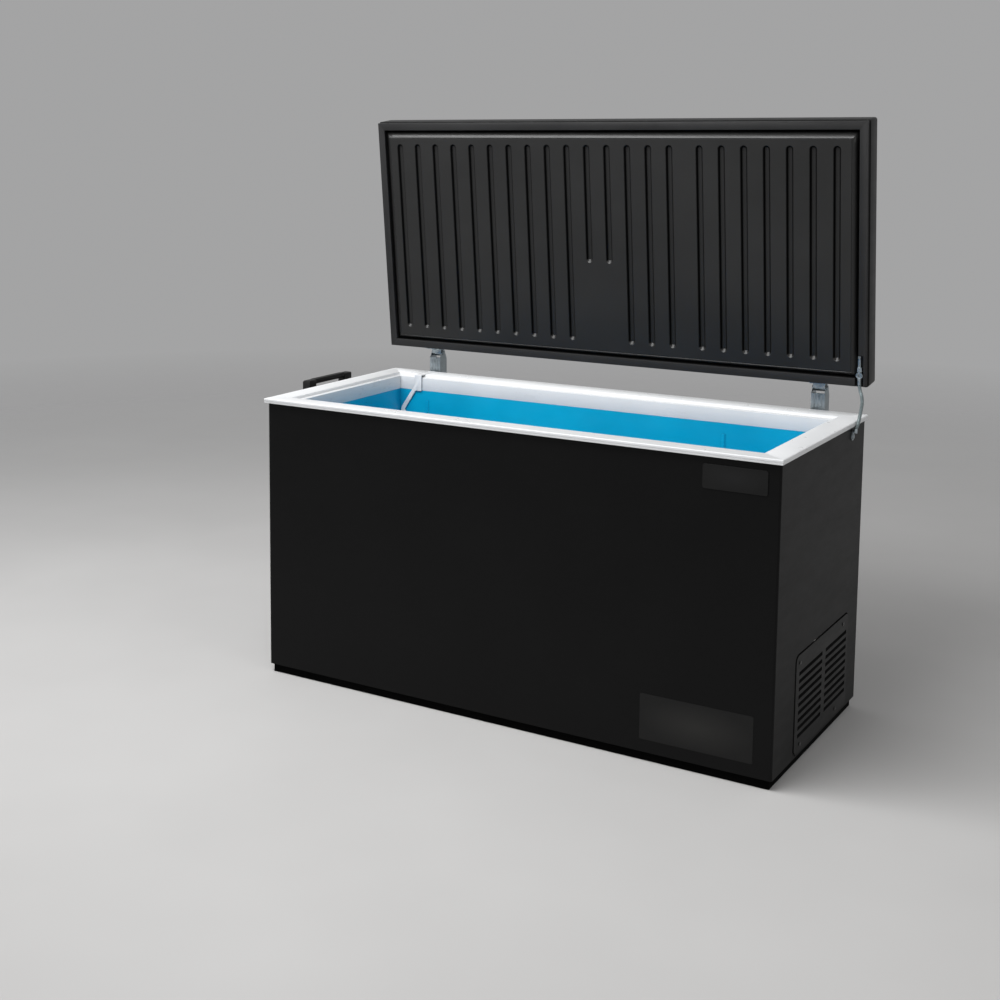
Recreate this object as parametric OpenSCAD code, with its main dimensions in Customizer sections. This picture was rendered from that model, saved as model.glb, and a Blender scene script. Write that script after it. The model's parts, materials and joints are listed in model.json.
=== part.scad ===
// Chest freezer with a raised one-piece lid, seen with the lid held open by its rear hinges.
// X runs along the front, Y towards the back, Z up. The origin is the middle of the footprint on the floor.

/* [Cabinet] */
// Width of the cabinet across its painted side panels (mm)
body_w = 1490; // [1400:10:1600]
// Depth of the cabinet from front panel to back panel (mm)
body_d = 670; // [650:5:700]
// Height of the top face of the white rim above the floor (mm)
rim_top = 806; // [780:1:840]
// Height of the plinth band that the cabinet stands on (mm)
plinth_h = 25; // [20:1:30]
// Thickness of the painted steel outer panels (mm)
panel_t = 1.2; // [0.8:0.1:1.5]
// Thickness of the insulated side walls (mm)
wall_x = 70; // [60:1:80]

/* [Lid] */
// Thickness of the lid without its inner plug (mm)
lid_t = 60; // [50:1:70]
// Angle that the lid stands open at (degrees)
open_angle = 83.5; // [80:0.5:84]
// Depth of the grooves pressed into the inside of the lid (mm)
groove_depth = 7; // [3:0.5:8]
// Width of one lid groove at the face (mm)
groove_w = 22; // [18:1:24]

/* [Inside] */
// Height of the cavity floor above the floor of the room (mm)
cav_floor = 90; // [80:1:110]
// Height of the raised step over the machine bay (mm)
step_top = 340; // [330:5:380]

/* [Service cover] */
// Number of louvres in each column of the service cover
louvre_rows = 9; // [6:1:9]

/* [Hidden] */
$fn = 48;
eps = 0.01;
bx = body_w / 2;
by = body_d / 2;
panel_top = rim_top - 3;
plinth_in = 8;
tab_x = -620;
tab_w = 24;
rim_ox = bx + 6;
rim_oy = by + 11;
cav_x = bx - wall_x;
cav_yf = -(by - 60);
cav_yb = by - 77;
liner_t = 1;
skirt_z = rim_top - 48;
// the machine bay at the right-hand end
step_x = cav_x - 270;
bay_x = step_x + 50;
bay_y = -200;
bay_top = step_top - 52;
cover_yf = -178;
cover_yb = 250;
cover_top = bay_top - 3;
cover_low = plinth_h + 8;
cover_screws_at = [[-153, 265], [202, 266], [-138, 53], [152, 50]];
// the hinge line and the closed lid
hinge_y = by + 45;
hinge_z = rim_top + 56;
hinge_x = bx - 135;
pin_d = 8;
lid_x = bx + 8;
lid_y = by + 21;
lid_z = rim_top + 12;
lid_top = lid_z + lid_t;
sheet = 0.8;
plug_in = 27;
plug_z = rim_top + 0.5;
field_in = 47;
field_rear = 44;
field_front = 52;
// X of each lid groove, with the two short ones in the middle
groove_pitch = 62.8;
groove_x = [for (i = [0:21]) (i - 10.5) * groove_pitch + (i < 15 ? -14.5 : 10.5)];
// the fan and the compressor in the bay
fan_x = (bay_x + bx) / 2;
fan_z = 158;
comp_x = fan_x + 8;
comp_y = 165;
drain_x = -560;
drain_y = -150;
knob_x = bay_x + 45;
knob_z = 230;
gland_x = bx - 60;
gland_z = 70;
// middle line of the sleeved wire rope of the lid stay, at the open lid
rope_d = 9;
rope_path = [[730, 327, 887.9], [730.4, 327.8, 879.5], [732.6, 327.3, 870], [737, 323.5, 861],
    [742, 313, 852], [747.5, 296, 843.5], [752, 275, 835], [755.8, 255, 827], [758, 242, 819.5],
    [758.4, 233.5, 810.5], [757.8, 229, 801], [755.6, 227, 792], [752, 226, 784]];

// ---------- shared shapes ----------

// Box given by its low and high corners.
module span(lo, hi) {
    translate(lo) cube(hi - lo);
}

// Rectangle with round corners, from squares and circles.
module round_rect(w, d, r) {
    square([w - 2 * r, d], center = true);
    square([w, d - 2 * r], center = true);
    for (sx = [-1, 1]) {
        for (sy = [-1, 1]) {
            translate([sx * (w / 2 - r), sy * (d / 2 - r)]) circle(r);
        }
    }
}

// Everything of the lid is drawn closed and then swung open about the hinge line.
module swing_open() {
    translate([0, hinge_y, hinge_z]) rotate([-open_angle, 0, 0])
        translate([0, -hinge_y, -hinge_z]) children();
}

// Pan head screw along +Z with a slot-like cross recess.
module screw(head_d, shank_d, shank_l) {
    difference() {
        cylinder(d = head_d, h = 2.2);
        translate([-head_d * 0.3, -0.6, 1.4]) cube([head_d * 0.6, 1.2, 2]);
        translate([-0.6, -head_d * 0.3, 1.4]) cube([1.2, head_d * 0.6, 2]);
    }
    translate([0, 0, -shank_l]) cylinder(d = shank_d, h = shank_l + 0.1);
}

// Straight round bar between two points.
module bar(p, q, d) {
    v = q - p;
    l = norm(v);
    translate(p) rotate([0, acos(v[2] / l), atan2(v[1], v[0])]) cylinder(d = d, h = l);
}

// Round bars joined by slightly larger soldered balls along a list of points.
module run(points, d) {
    for (i = [0:len(points) - 2]) {
        bar(points[i], points[i + 1], d);
    }
    for (i = [1:len(points) - 2]) {
        translate(points[i]) sphere(d = d + 0.8);
    }
}

// Frame of a ring of a swept tube: across and up vectors for a direction.
function unit(v) = v / norm(v);
function along(p, i) = unit(p[min(i + 1, len(p) - 1)] - p[max(i - 1, 0)]);
function across(t, up) = unit(cross(t, up));

// Tube swept along points, with flat ends.
module swept_tube(p, d, n, up) {
    rings = [for (i = [0:len(p) - 1])
        let (t = along(p, i), a = across(t, up), b = cross(a, t))
        [for (k = [0:n - 1]) p[i] + d / 2 * (cos(360 * k / n) * a + sin(360 * k / n) * b)]];
    pts = [for (r = rings) each r];
    sides = [for (i = [0:len(p) - 2]) for (k = [0:n - 1])
        let (m = (k + 1) % n)
        each [[i * n + k, (i + 1) * n + k, (i + 1) * n + m], [i * n + k, (i + 1) * n + m, i * n + m]]];
    ends = [[for (k = [0:n - 1]) k], [for (k = [n - 1:-1:0]) (len(p) - 1) * n + k]];
    polyhedron(points = pts, faces = concat(sides, ends), convexity = 4);
}

// ---------- outer cabinet ----------

module front_panel() {
    color([0.03, 0.03, 0.032])
    translate([0, 0, plinth_h]) linear_extrude(panel_top - plinth_h) intersection() {
        difference() {
            round_rect(2 * bx, 2 * by, 6);
            round_rect(2 * (bx - panel_t), 2 * (by - panel_t), 6 - panel_t);
        }
        translate([-bx - 1, -by - 1]) square([2 * bx + 2, 7]);
    }
}

// Room in the front corners of what lies inside the rounded front panel.
module front_corners() {
    for (s = [-1, 1]) {
        translate([s * (bx - panel_t), -by + panel_t, 0]) cube([10.4, 10.4, 3000], center = true);
    }
}

module left_panel() {
    color([0.05, 0.05, 0.052])
    span([-bx, -by + 6.05, plinth_h], [-bx + panel_t, by, panel_top]);
}

module right_panel() {
    color([0.05, 0.05, 0.052]) {
        difference() {
            span([bx - panel_t, -by + 6.05, plinth_h], [bx, by, panel_top]);
            translate([bx - 5, -1.75, 1]) rotate([90, 0, 90]) linear_extrude(10) service_outline(3.25);
        }
        // lugs behind the opening, which take the cover's screws
        for (p = cover_screws_at) {
            edge = p[0] < 0 ? [cover_yf - 20, cover_yf - 6] : [cover_yb + 4, cover_yb + 18];
            span([bx - 5.2, edge[0], p[1] - 7], [bx - panel_t + 0.01, edge[1], p[1] + 7]);
            difference() {
                span([bx - 5.2, min(p[0] - 8, edge[0]), p[1] - 7],
                    [bx - 2.7, max(p[0] + 8, edge[1]), p[1] + 7]);
                translate([bx - 10, p[0], p[1]]) rotate([0, 90, 0]) cylinder(d = 4.9, h = 30);
            }
        }
    }
}

// Outline of the service cover in the Y-Z plane, grown by g.
module service_outline(g) {
    translate([(cover_yf + cover_yb) / 2, (cover_low + cover_top) / 2])
        round_rect(cover_yb - cover_yf + 2 * g, cover_top - cover_low + 2 * g, 18 + g);
}

module back_panel() {
    color([0.05, 0.05, 0.052])
    difference() {
        span([-bx + panel_t, by - panel_t, plinth_h], [bx - panel_t, by, panel_top]);
        for (i = [0:9]) {
            span([bay_x + 95, by - 5, 70 + 18 * i], [bx - 100, by + 5, 77 + 18 * i]);
        }
        translate([knob_x, by - 5, knob_z]) rotate([-90, 0, 0]) cylinder(d = 12, h = 10);
        translate([gland_x, by - 5, gland_z]) rotate([-90, 0, 0]) cylinder(d = 18.4, h = 10);
    }
}

module base_pan() {
    color([0.35, 0.36, 0.37])
    difference() {
        span([-bx + panel_t, -by + panel_t, plinth_h], [bx - panel_t, by - panel_t, plinth_h + 1.5]);
        translate([drain_x, drain_y, 0]) cylinder(d = 21, h = 100);
        front_corners();
    }
}

module front_plinth() {
    color([0.01, 0.01, 0.01])
    span([-bx + plinth_in, -by + plinth_in, 0], [bx - plinth_in, -by + plinth_in + 16, plinth_h]);
}

module rear_plinth() {
    color([0.01, 0.01, 0.01])
    span([-bx + plinth_in, by - plinth_in - 16, 0], [bx - plinth_in, by - plinth_in, plinth_h]);
}

module cross_plinths() {
    color([0.01, 0.01, 0.01])
    for (s = [-1, 0, 1]) {
        translate([s * (bx - plinth_in - 8), 0, 0])
            span([-8, -by + plinth_in + 16, 0], [8, by - plinth_in - 16, plinth_h]);
    }
}

// ---------- insulation and inner lining ----------

coil_levels = [for (i = [0:5]) step_top + 55 + 62 * i];
coil_gap = liner_t + 5.2;

module foam_insulation() {
    color([0.85, 0.78, 0.55])
    difference() {
        span([-bx + panel_t + 0.2, -by + panel_t + 0.2, plinth_h + 1.7],
            [bx - panel_t - 0.2, by - panel_t - 0.2, rim_top - 10.8]);
        // the cavity with its lining, and the rim skirt above it
        span([-cav_x - liner_t, cav_yf - liner_t, cav_floor - liner_t],
            [step_x + liner_t, cav_yb + liner_t, rim_top]);
        span([0, cav_yf - liner_t, step_top - liner_t], [cav_x + liner_t, cav_yb + liner_t, rim_top]);
        span([-cav_x - 4, cav_yf - 4, skirt_z - 0.2], [cav_x + 4, cav_yb + 4, rim_top]);
        // the machine bay
        span([bay_x - 1.4, bay_y - 1.4, 0], [bx + 1, by + 1, bay_top + 1.4]);
        // channels for the evaporator tube
        for (z = coil_levels) {
            span([-cav_x - 10.7, cav_yf - 10.7, z - 5], [cav_x + 10.7, cav_yb + 10.7, z + 5]);
        }
        span([cav_x - 5, cav_yb + 1, bay_top], [cav_x + 10.7, cav_yb + 10.7, coil_levels[5]]);
        // the drain
        translate([drain_x, drain_y, 0]) cylinder(d = 21, h = 200);
        front_corners();
    }
}

module liner_plate(lo, hi) {
    color([0.0, 0.42, 0.65])
    span(lo, hi);
}

module liner_front() {
    liner_plate([-cav_x - liner_t, cav_yf - liner_t, cav_floor - liner_t], [step_x, cav_yf, skirt_z - 0.1]);
    liner_plate([step_x, cav_yf - liner_t, step_top - liner_t], [cav_x + liner_t, cav_yf, skirt_z - 0.1]);
}

module liner_rear() {
    bead_x = [-cav_x + 100, cav_x - 291];
    liner_plate([-cav_x - liner_t, cav_yb, cav_floor - liner_t], [step_x, cav_yb + liner_t, skirt_z - 0.1]);
    liner_plate([step_x, cav_yb, step_top - liner_t], [cav_x + liner_t, cav_yb + liner_t, skirt_z - 0.1]);
    color([0.0, 0.42, 0.65])
    for (x = bead_x) {
        intersection() {
            translate([x, cav_yb + 4, step_top + 20]) cylinder(r = 7, h = skirt_z - step_top - 50);
            span([x - 20, cav_yb - 20, 0], [x + 20, cav_yb + 0.5, rim_top]);
        }
    }
}

module liner_left() {
    liner_plate([-cav_x - liner_t, cav_yf, cav_floor], [-cav_x, cav_yb, skirt_z - 0.1]);
}

module liner_right() {
    liner_plate([cav_x, cav_yf, step_top], [cav_x + liner_t, cav_yb, skirt_z - 0.1]);
}

module liner_floor() {
    color([0.0, 0.42, 0.65])
    difference() {
        span([-cav_x, cav_yf, cav_floor - liner_t], [step_x, cav_yb, cav_floor]);
        translate([drain_x, drain_y, 0]) cylinder(d = 20.4, h = 200);
    }
}

module liner_step() {
    liner_plate([step_x, cav_yf, cav_floor - liner_t], [step_x + liner_t, cav_yb, step_top]);
    liner_plate([step_x, cav_yf, step_top - liner_t], [cav_x + liner_t, cav_yb, step_top]);
}

// Tube wound round the lining, one loop per level, joined by short risers at the rear right.
module evaporator_coil() {
    ox = cav_x + coil_gap;
    yf = cav_yf - coil_gap;
    yb = cav_yb + coil_gap;
    color([0.72, 0.45, 0.25]) {
        for (z = coil_levels) {
            run([[ox, yb, z], [ox, yf, z], [-ox, yf, z], [-ox, yb, z], [ox, yb, z]], 7);
            translate([ox, yb, z]) sphere(d = 8.2);
        }
        bar([ox, yb, coil_levels[0] - 76], [ox, yb, coil_levels[5]], 6);
    }
}

// Section of the rim as distance inwards from its outer edge; f stretches it to the wall thickness.
module rim_section(f, tuck) {
    t = rim_top;
    polygon([[76 * f, skirt_z], [76 * f, t - 8.5], [61 * f, t - 8], [59 * f, t - 0.8], [58 * f, t],
        [2 * f, t], [0, t - 1.6], [0, t - 6.8], [0.6, t - 7], [0.6, t - 13], [tuck, t - 13], [tuck, t - 10.5],
        [3.1, t - 10.5], [3.1, t - 2.5], [56.5 * f, t - 2.5], [58.8 * f, t - 10.4], [73.5 * f, t - 10.6],
        [73.5 * f, skirt_z]]);
}

module rim_piece_y(f, tuck) {
    rotate([90, 0, 90]) translate([0, 0, -rim_ox]) linear_extrude(2 * rim_ox) rim_section(f, tuck);
}

module rim_front() {
    color([0.88, 0.9, 0.92])
    intersection() {
        translate([0, -rim_oy, 0]) rim_piece_y((rim_oy + cav_yf) / 76, 10.6);
        linear_extrude(1000)
            polygon([[-rim_ox, -rim_oy], [rim_ox, -rim_oy], [cav_x, cav_yf], [-cav_x, cav_yf]]);
    }
}

module rim_rear() {
    color([0.88, 0.9, 0.92])
    difference() {
        intersection() {
            translate([0, rim_oy, 0]) mirror([0, 1, 0]) rim_piece_y((rim_oy - cav_yb) / 76, 10.6);
            linear_extrude(1000)
                polygon([[-rim_ox, rim_oy], [rim_ox, rim_oy], [cav_x, cav_yb], [-cav_x, cav_yb]]);
        }
        // seat for the scraper tab
        span([tab_x - 1.5, cav_yb - 5, rim_top - 1.6], [tab_x + tab_w + 1.5, rim_oy + 5, rim_top + 5]);
    }
}

module rim_side() {
    intersection() {
        translate([rim_ox, 0, 0]) mirror([1, 0, 0]) rotate([90, 0, 0]) translate([0, 0, -rim_oy])
            linear_extrude(2 * rim_oy) rim_section((rim_ox - cav_x) / 76, 5.6);
        linear_extrude(1000) polygon([[rim_ox, -rim_oy], [rim_ox, rim_oy], [cav_x, cav_yb], [cav_x, cav_yf]]);
    }
}

module rim_right() {
    color([0.88, 0.9, 0.92]) rim_side();
}

module rim_left() {
    color([0.88, 0.9, 0.92]) mirror([1, 0, 0]) rim_side();
}

// ---------- lid ----------

module lid_shell() {
    color([0.04, 0.04, 0.042])
    swing_open() difference() {
        translate([0, 0, lid_z]) linear_extrude(lid_t) round_rect(2 * lid_x, 2 * lid_y, 7);
        translate([0, 0, lid_z + sheet]) linear_extrude(lid_t - 2 * sheet)
            round_rect(2 * (lid_x - sheet), 2 * (lid_y - sheet), 7 - sheet);
        span([-lid_x + plug_in, -lid_y + plug_in, 0], [lid_x - plug_in, lid_y - plug_in, lid_z + 5]);
    }
}

module lid_foam() {
    m = sheet + 0.3;
    color([0.85, 0.78, 0.55])
    swing_open() {
        difference() {
            span([-lid_x + m, -lid_y + m, lid_z + m], [lid_x - m, lid_y - m, lid_top - m]);
            for (s = [-1, 1]) {
                for (t = [-1, 1]) {
                    translate([s * (lid_x - m), t * (lid_y - m), 0]) cube([8, 8, 3000], center = true);
                }
            }
        }
        difference() {
            plug_block(4.4, plug_z + 3.2, lid_z + m + 0.1);
            groove_backs(2.2);
        }
    }
}

// Blocks behind the grooves of the liner, grown by g.
module groove_backs(g) {
    for (i = [0:21]) {
        yb = lid_y - ((i == 10 || i == 11) ? 302 : 67);
        span([groove_x[i] - groove_w / 2 - g, lid_y - 646 - g, 0],
            [groove_x[i] + groove_w / 2 + g, yb + g, 2000]);
    }
}

// Plug block with sloping sides: side views cut to the same height along both directions.
module plug_block(g, z0, z1) {
    xo = lid_x - plug_in - g;
    xi = lid_x - field_in - g;
    yo = lid_y - plug_in - g;
    intersection() {
        rotate([90, 0, 0]) linear_extrude(2000, center = true)
            polygon([[-xi, z0], [xi, z0], [xo, z1], [-xo, z1]]);
        rotate([90, 0, 90]) linear_extrude(3000, center = true)
            polygon([[-(lid_y - field_front - g), z0], [lid_y - field_rear - g, z0], [yo, z1], [-yo, z1]]);
    }
}

// Room taken by one groove: a channel with sloping walls and cone ends.
module groove(x, yf, yb) {
    w = groove_w;
    fw = groove_w * 0.4;
    z0 = plug_z - 0.05;
    h = groove_depth + 0.05;
    translate([x, yb, 0]) rotate([90, 0, 0]) linear_extrude(yb - yf)
        polygon([[-w / 2, z0], [w / 2, z0], [fw / 2, z0 + h], [-fw / 2, z0 + h]]);
    for (y = [yf, yb]) {
        translate([x, y, z0]) cylinder(d1 = w, d2 = fw, h = h);
    }
}

module lid_liner() {
    yb = lid_y - 67 - groove_w / 2;
    yf = lid_y - 646 + groove_w / 2;
    ys = lid_y - 302 - groove_w / 2;
    color([0.12, 0.12, 0.125])
    swing_open() difference() {
        plug_block(0, plug_z, lid_z + 1);
        difference() {
            plug_block(3, plug_z + 2.5, lid_z + 1.5);
            groove_backs(2);
        }
        for (i = [0:21]) {
            groove(groove_x[i], yf, (i == 10 || i == 11) ? ys : yb);
        }
    }
}

module lid_gasket() {
    z0 = rim_top + 0.4;
    color([0.09, 0.09, 0.09])
    swing_open() difference() {
        span([-lid_x + 3, -lid_y + 3, z0], [lid_x - 3, lid_y - 3, lid_z]);
        span([-lid_x + 25, -lid_y + 25, 0], [lid_x - 25, lid_y - 25, 2000]);
        // folds of the bellows
        translate([0, 0, z0 + 4]) linear_extrude(3) difference() {
            square([4000, 4000], center = true);
            square([2 * lid_x - 12, 2 * lid_y - 12], center = true);
        }
        // room for the stay anchor and its rope
        span([lid_x - 34, lid_y - 88, 0], [lid_x - 12, lid_y + 5, 2000]);
    }
}

// ---------- hinges ----------

module at_hinges() {
    for (s = [-1, 1]) {
        translate([s * hinge_x, 0, 0]) children();
    }
}

module hinge_brackets() {
    w = 38;
    t = 2;
    web_y = rim_oy + 14;
    web_top = hinge_z - 14.5;
    color([0.62, 0.68, 0.73])
    at_hinges() difference() {
        union() {
            // plate on the back panel, ledge under the rim, web behind it
            span([-w / 2, by, rim_top - 156], [w / 2, by + t, rim_top - 18]);
            span([-w / 2, by, rim_top - 22], [w / 2, web_y + t, rim_top - 18]);
            span([-w / 2, web_y, rim_top - 22], [w / 2, web_y + t, web_top]);
            translate([-w / 2, web_y + 1, web_top]) rotate([0, 90, 0]) cylinder(r = 1.8, h = w);
            for (x = [-10, 0, 10]) {
                translate([x, web_y + 0.6, rim_top + 3]) cylinder(r = 1.6, h = web_top - rim_top - 7);
            }
            for (s = [-1, 1]) {
                translate([s * (w / 2 - t / 2) - t / 2, 0, 0]) rotate([90, 0, 90]) linear_extrude(t) {
                    polygon([[web_y, rim_top - 22], [web_y + 40, rim_top - 22], [web_y + 40, hinge_z - 20],
                        [hinge_y + 10, hinge_z], [hinge_y - 10, hinge_z], [web_y, web_top]]);
                    polygon([[by, rim_top - 70], [web_y + 40, rim_top - 22], [by, rim_top - 22]]);
                    translate([hinge_y, hinge_z]) circle(10);
                }
            }
        }
        translate([-w, hinge_y, hinge_z]) rotate([0, 90, 0]) cylinder(d = pin_d + 0.02, h = 2 * w);
        for (z = [rim_top - 138, rim_top - 95]) {
            translate([0, by - 1, z]) rotate([-90, 0, 0]) cylinder(d = 5.4, h = 20);
        }
    }
}

module hinge_pins() {
    color([0.75, 0.78, 0.8])
    at_hinges() {
        translate([-20, hinge_y, hinge_z]) rotate([0, 90, 0]) cylinder(d = pin_d, h = 40);
        for (s = [-1, 1]) {
            translate([s * 20.05 - 1, hinge_y, hinge_z]) rotate([0, 90, 0]) cylinder(d = 12, h = 2);
        }
    }
}

module hinge_leaves() {
    w = 33;
    t = 2;
    color([0.62, 0.68, 0.73])
    swing_open() at_hinges() difference() {
        union() {
            span([-w / 2, lid_y, lid_z + 1], [w / 2, lid_y + 2.5, lid_z + 52]);
            // barrel round the spring, and the web that joins it to the plate
            translate([0, hinge_y, hinge_z]) rotate([0, 90, 0]) difference() {
                cylinder(r = 10, h = w, center = true);
                cylinder(r = 8.9, h = w - 2 * t, center = true);
            }
            span([-w / 2, lid_y, hinge_z - 11.5], [w / 2, hinge_y, hinge_z - 9.6]);
            for (s = [-1, 1]) {
                translate([s * (w / 2 - t / 2) - t / 2, 0, 0]) rotate([90, 0, 90]) linear_extrude(t) {
                    polygon([[lid_y, hinge_z - 12], [hinge_y - 1, hinge_z - 10], [hinge_y + 1, hinge_z + 9.9],
                        [lid_y, hinge_z + 8]]);
                    translate([hinge_y, hinge_z]) circle(10);
                }
            }
        }
        translate([-w, hinge_y, hinge_z]) rotate([0, 90, 0]) cylinder(d = pin_d + 0.16, h = 2 * w);
        for (x = [-8, 8]) {
            translate([x, lid_y - 1, hinge_z - 4]) rotate([-90, 0, 0]) cylinder(d = 4.4, h = 10);
        }
    }
}

// Torsion spring round each pin, with one leg down on the web of the bracket.
module hinge_springs() {
    turns = 6;
    steps = 10;
    wire = 2.6;
    r = 7;
    helix = [for (i = [0:turns * steps])
        [-11 + 22 * i / (turns * steps), r * cos(360 * i / steps), r * sin(360 * i / steps)]];
    color([0.35, 0.36, 0.38])
    at_hinges() translate([0, hinge_y, hinge_z]) swept_tube(helix, wire, 6, [1, 0, 0]);
}

module bracket_screws() {
    color([0.75, 0.78, 0.8])
    at_hinges() for (z = [rim_top - 138, rim_top - 95]) {
        translate([0, by + 2, z]) rotate([-90, 0, 0]) screw(10, 5, 14);
    }
}

module leaf_screws() {
    color([0.75, 0.78, 0.8])
    swing_open() at_hinges() for (x = [-8, 8]) {
        translate([x, lid_y + 2.5, hinge_z - 4]) rotate([-90, 0, 0]) screw(8, 4, 14);
    }
}

// ---------- lid stay ----------

module stay_rope() {
    color([0.5, 0.55, 0.58])
    swept_tube(rope_path, rope_d, 10, [0, 1, 0.2]);
}

// Crimped ferrule on the rope's end, and its eye screwed to the outside of the right-hand panel.
module stay_lower_clamp() {
    e = rope_path[len(rope_path) - 1];
    f = e + [0, -1.8, -9];
    c = f + [0, -2.5, -8.5];
    color([0.7, 0.74, 0.76]) {
        bar(e + [0, 0.4, 2], f, 12);
        translate([bx, c[1] - 6, c[2]]) cube([4, 12, 13]);
        translate([bx, c[1], c[2]]) rotate([0, 90, 0]) cylinder(d = 21, h = 3);
        translate([bx + 2.9, c[1], c[2]]) rotate([0, 90, 0]) cylinder(d = 12, h = 2.6);
        translate([bx + 5.4, c[1] - 4, c[2] - 0.7]) cube([0.5, 8, 1.4]);
    }
}

// Strap, clamp, thimble and crimp on the edge of the lid's inner face.
module stay_upper_anchor() {
    x = lid_x - 24;
    zc = rim_top + 6.2;
    color([0.72, 0.76, 0.8])
    swing_open() {
        span([x - 4, lid_y - 84, lid_z - 3], [x + 3, lid_y - 50, lid_z]);
        translate([x - 0.5, lid_y - 77, lid_z - 4.6]) cylinder(d = 6, h = 2);
        span([x - 4.2, lid_y - 54, lid_z - 9.5], [x + 7.5, lid_y - 43, lid_z]);
        difference() {
            translate([x + 1, lid_y - 33, zc - 4]) cylinder(d = 18, h = 7.4);
            translate([x + 1, lid_y - 33, zc - 5]) cylinder(d = 8, h = 10);
        }
        translate([x + 1, lid_y - 33, zc + 1]) cylinder(d = 10, h = lid_z - zc - 1);
        span([x - 3, lid_y - 44, zc - 3], [x + 5, lid_y - 40, zc + 3]);
        translate([x + 1, lid_y - 8, zc]) rotate([90, 0, 0]) cylinder(d = 11.2, h = 17);
    }
}

// ---------- small parts ----------

// White plastic scraper hung over the rear rim by its flat tab, with its blade low in the cavity.
module ice_scraper() {
    color([0.86, 0.88, 0.9]) {
        span([tab_x, cav_yb - 4.2, rim_top - 1.5], [tab_x + tab_w, rim_oy - 0.5, rim_top + 0.1]);
        span([tab_x, cav_yb - 4.2, rim_top - 50], [tab_x + tab_w, cav_yb - 1.2, rim_top - 1]);
        translate([tab_x + 6, cav_yb - 1.2, rim_top - 34]) rotate([90, 0, 0]) linear_extrude(3)
            polygon([[5.4, -3.6], [-5.4, 3.6], [-53.4, -69.9], [-55.5, -76], [-55.5, -131], [-31, -131],
                [-26, -116], [-42.6, -77.1]]);
    }
}

module scraper_clip() {
    color([0.1, 0.1, 0.1])
    translate([tab_x + tab_w / 2, cav_yb - 0.05, rim_top - 26]) rotate([90, 0, 0]) difference() {
        cylinder(r = 9, h = 1.1);
        translate([-10, -10, -1]) cube([20, 6, 4]);
    }
}

handle_yf = -36;
handle_yb = 118;
handle_x = bx + 70;
handle_top = rim_top + 10;
arm_w = 34;
handle_screw_z = [rim_top - 92, rim_top - 54];
handle_screw_y = [handle_yf - arm_w - 13, handle_yb + arm_w + 13];

module handle_grip() {
    x = handle_x;
    t = handle_top;
    color([0.03, 0.03, 0.03])
    translate([0, handle_yb, 0]) rotate([90, 0, 0]) linear_extrude(handle_yb - handle_yf)
        polygon([[-x + 24, t - 12], [-x + 24, t - 3], [-x + 21, t], [-x + 5, t], [-x, t - 4], [-x, t - 11],
            [-x + 5, t - 16], [-x + 19, t - 16]]);
}

// Arms that hold the ends of the grip, each with a screwed flange on the left-hand panel.
module handle_arms() {
    x = handle_x;
    t = handle_top;
    color([0.03, 0.03, 0.03]) {
        for (y = [handle_yf - arm_w, handle_yb]) {
            translate([0, y + arm_w, 0]) rotate([90, 0, 0]) linear_extrude(arm_w)
                polygon([[-bx, t - 120], [-bx, t - 46], [-x + 26, t - 22], [-x + 26, t - 4],
                    [-x + 23, t - 1.5], [-x + 4, t - 1.5], [-x - 1, t - 6], [-x - 1, t - 36],
                    [-bx - 14, t - 112]]);
        }
        difference() {
            for (y = handle_screw_y) {
                span([-bx - 3, y - 13.1, rim_top - 106], [-bx, y + 13.1, rim_top - 40]);
            }
            for (y = handle_screw_y) {
                for (z = handle_screw_z) {
                    translate([-bx - 10, y, z]) rotate([0, 90, 0]) cylinder(d = 5.1, h = 20);
                }
            }
        }
    }
}

module handle_screws() {
    color([0.2, 0.2, 0.2])
    for (y = handle_screw_y) {
        for (z = handle_screw_z) {
            translate([-bx - 3, y, z]) rotate([0, -90, 0]) screw(9, 5, 12);
        }
    }
}

module badge_plate() {
    color([0.55, 0.56, 0.58])
    translate([634, -by, 744]) rotate([90, 0, 0]) linear_extrude(2) round_rect(160, 60, 6);
}

module info_label() {
    color([0.3, 0.3, 0.3])
    translate([552, -by, 117]) rotate([90, 0, 0]) linear_extrude(0.6) round_rect(290, 118, 4);
}

// ---------- machine bay ----------

module louvre_slots(y0, y1) {
    for (i = [0:louvre_rows - 1]) {
        z = cover_top - 47 - 20 * i;
        span([bx - 10, y0, z - 6.5], [bx + 10, y1, z + 3.5]);
    }
}

module service_cover() {
    color([0.02, 0.02, 0.022])
    difference() {
        translate([bx - 2.5, 0, 0]) rotate([90, 0, 90]) linear_extrude(4) service_outline(0);
        louvre_slots(-155, 30);
        louvre_slots(57, 235);
        for (p = cover_screws_at) {
            translate([bx - 10, p[0], p[1]]) rotate([0, 90, 0]) cylinder(d = 5, h = 30);
        }
    }
}

module cover_screws() {
    color([0.05, 0.05, 0.052])
    for (p = cover_screws_at) {
        translate([bx + 1.5, p[0], p[1]]) rotate([0, 90, 0]) screw(9, 4.8, 9);
    }
}

module bay_liner() {
    t = 1.2;
    color([0.6, 0.62, 0.64]) {
        span([bay_x - t, bay_y - t, plinth_h + 1.6], [bay_x, by - panel_t - 0.1, bay_top + t]);
        span([bay_x - t, bay_y - t, bay_top], [bx - panel_t - 0.1, by - panel_t - 0.1, bay_top + t]);
        span([bay_x - t, bay_y - t, plinth_h + 1.6], [bx - panel_t - 0.1, bay_y, bay_top + t]);
    }
}

foot_z = plinth_h + 1.5;

module compressor() {
    color([0.03, 0.03, 0.03])
    translate([comp_x, comp_y, foot_z + 24]) {
        rotate_extrude() {
            square([50, 150]);
            translate([0, 30]) square([80, 90]);
            translate([50, 30]) intersection() {
                circle(30);
                translate([0, -30]) square([30, 60]);
            }
            translate([50, 120]) intersection() {
                circle(30);
                translate([0, -30]) square([30, 60]);
            }
        }
    }
}

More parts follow.
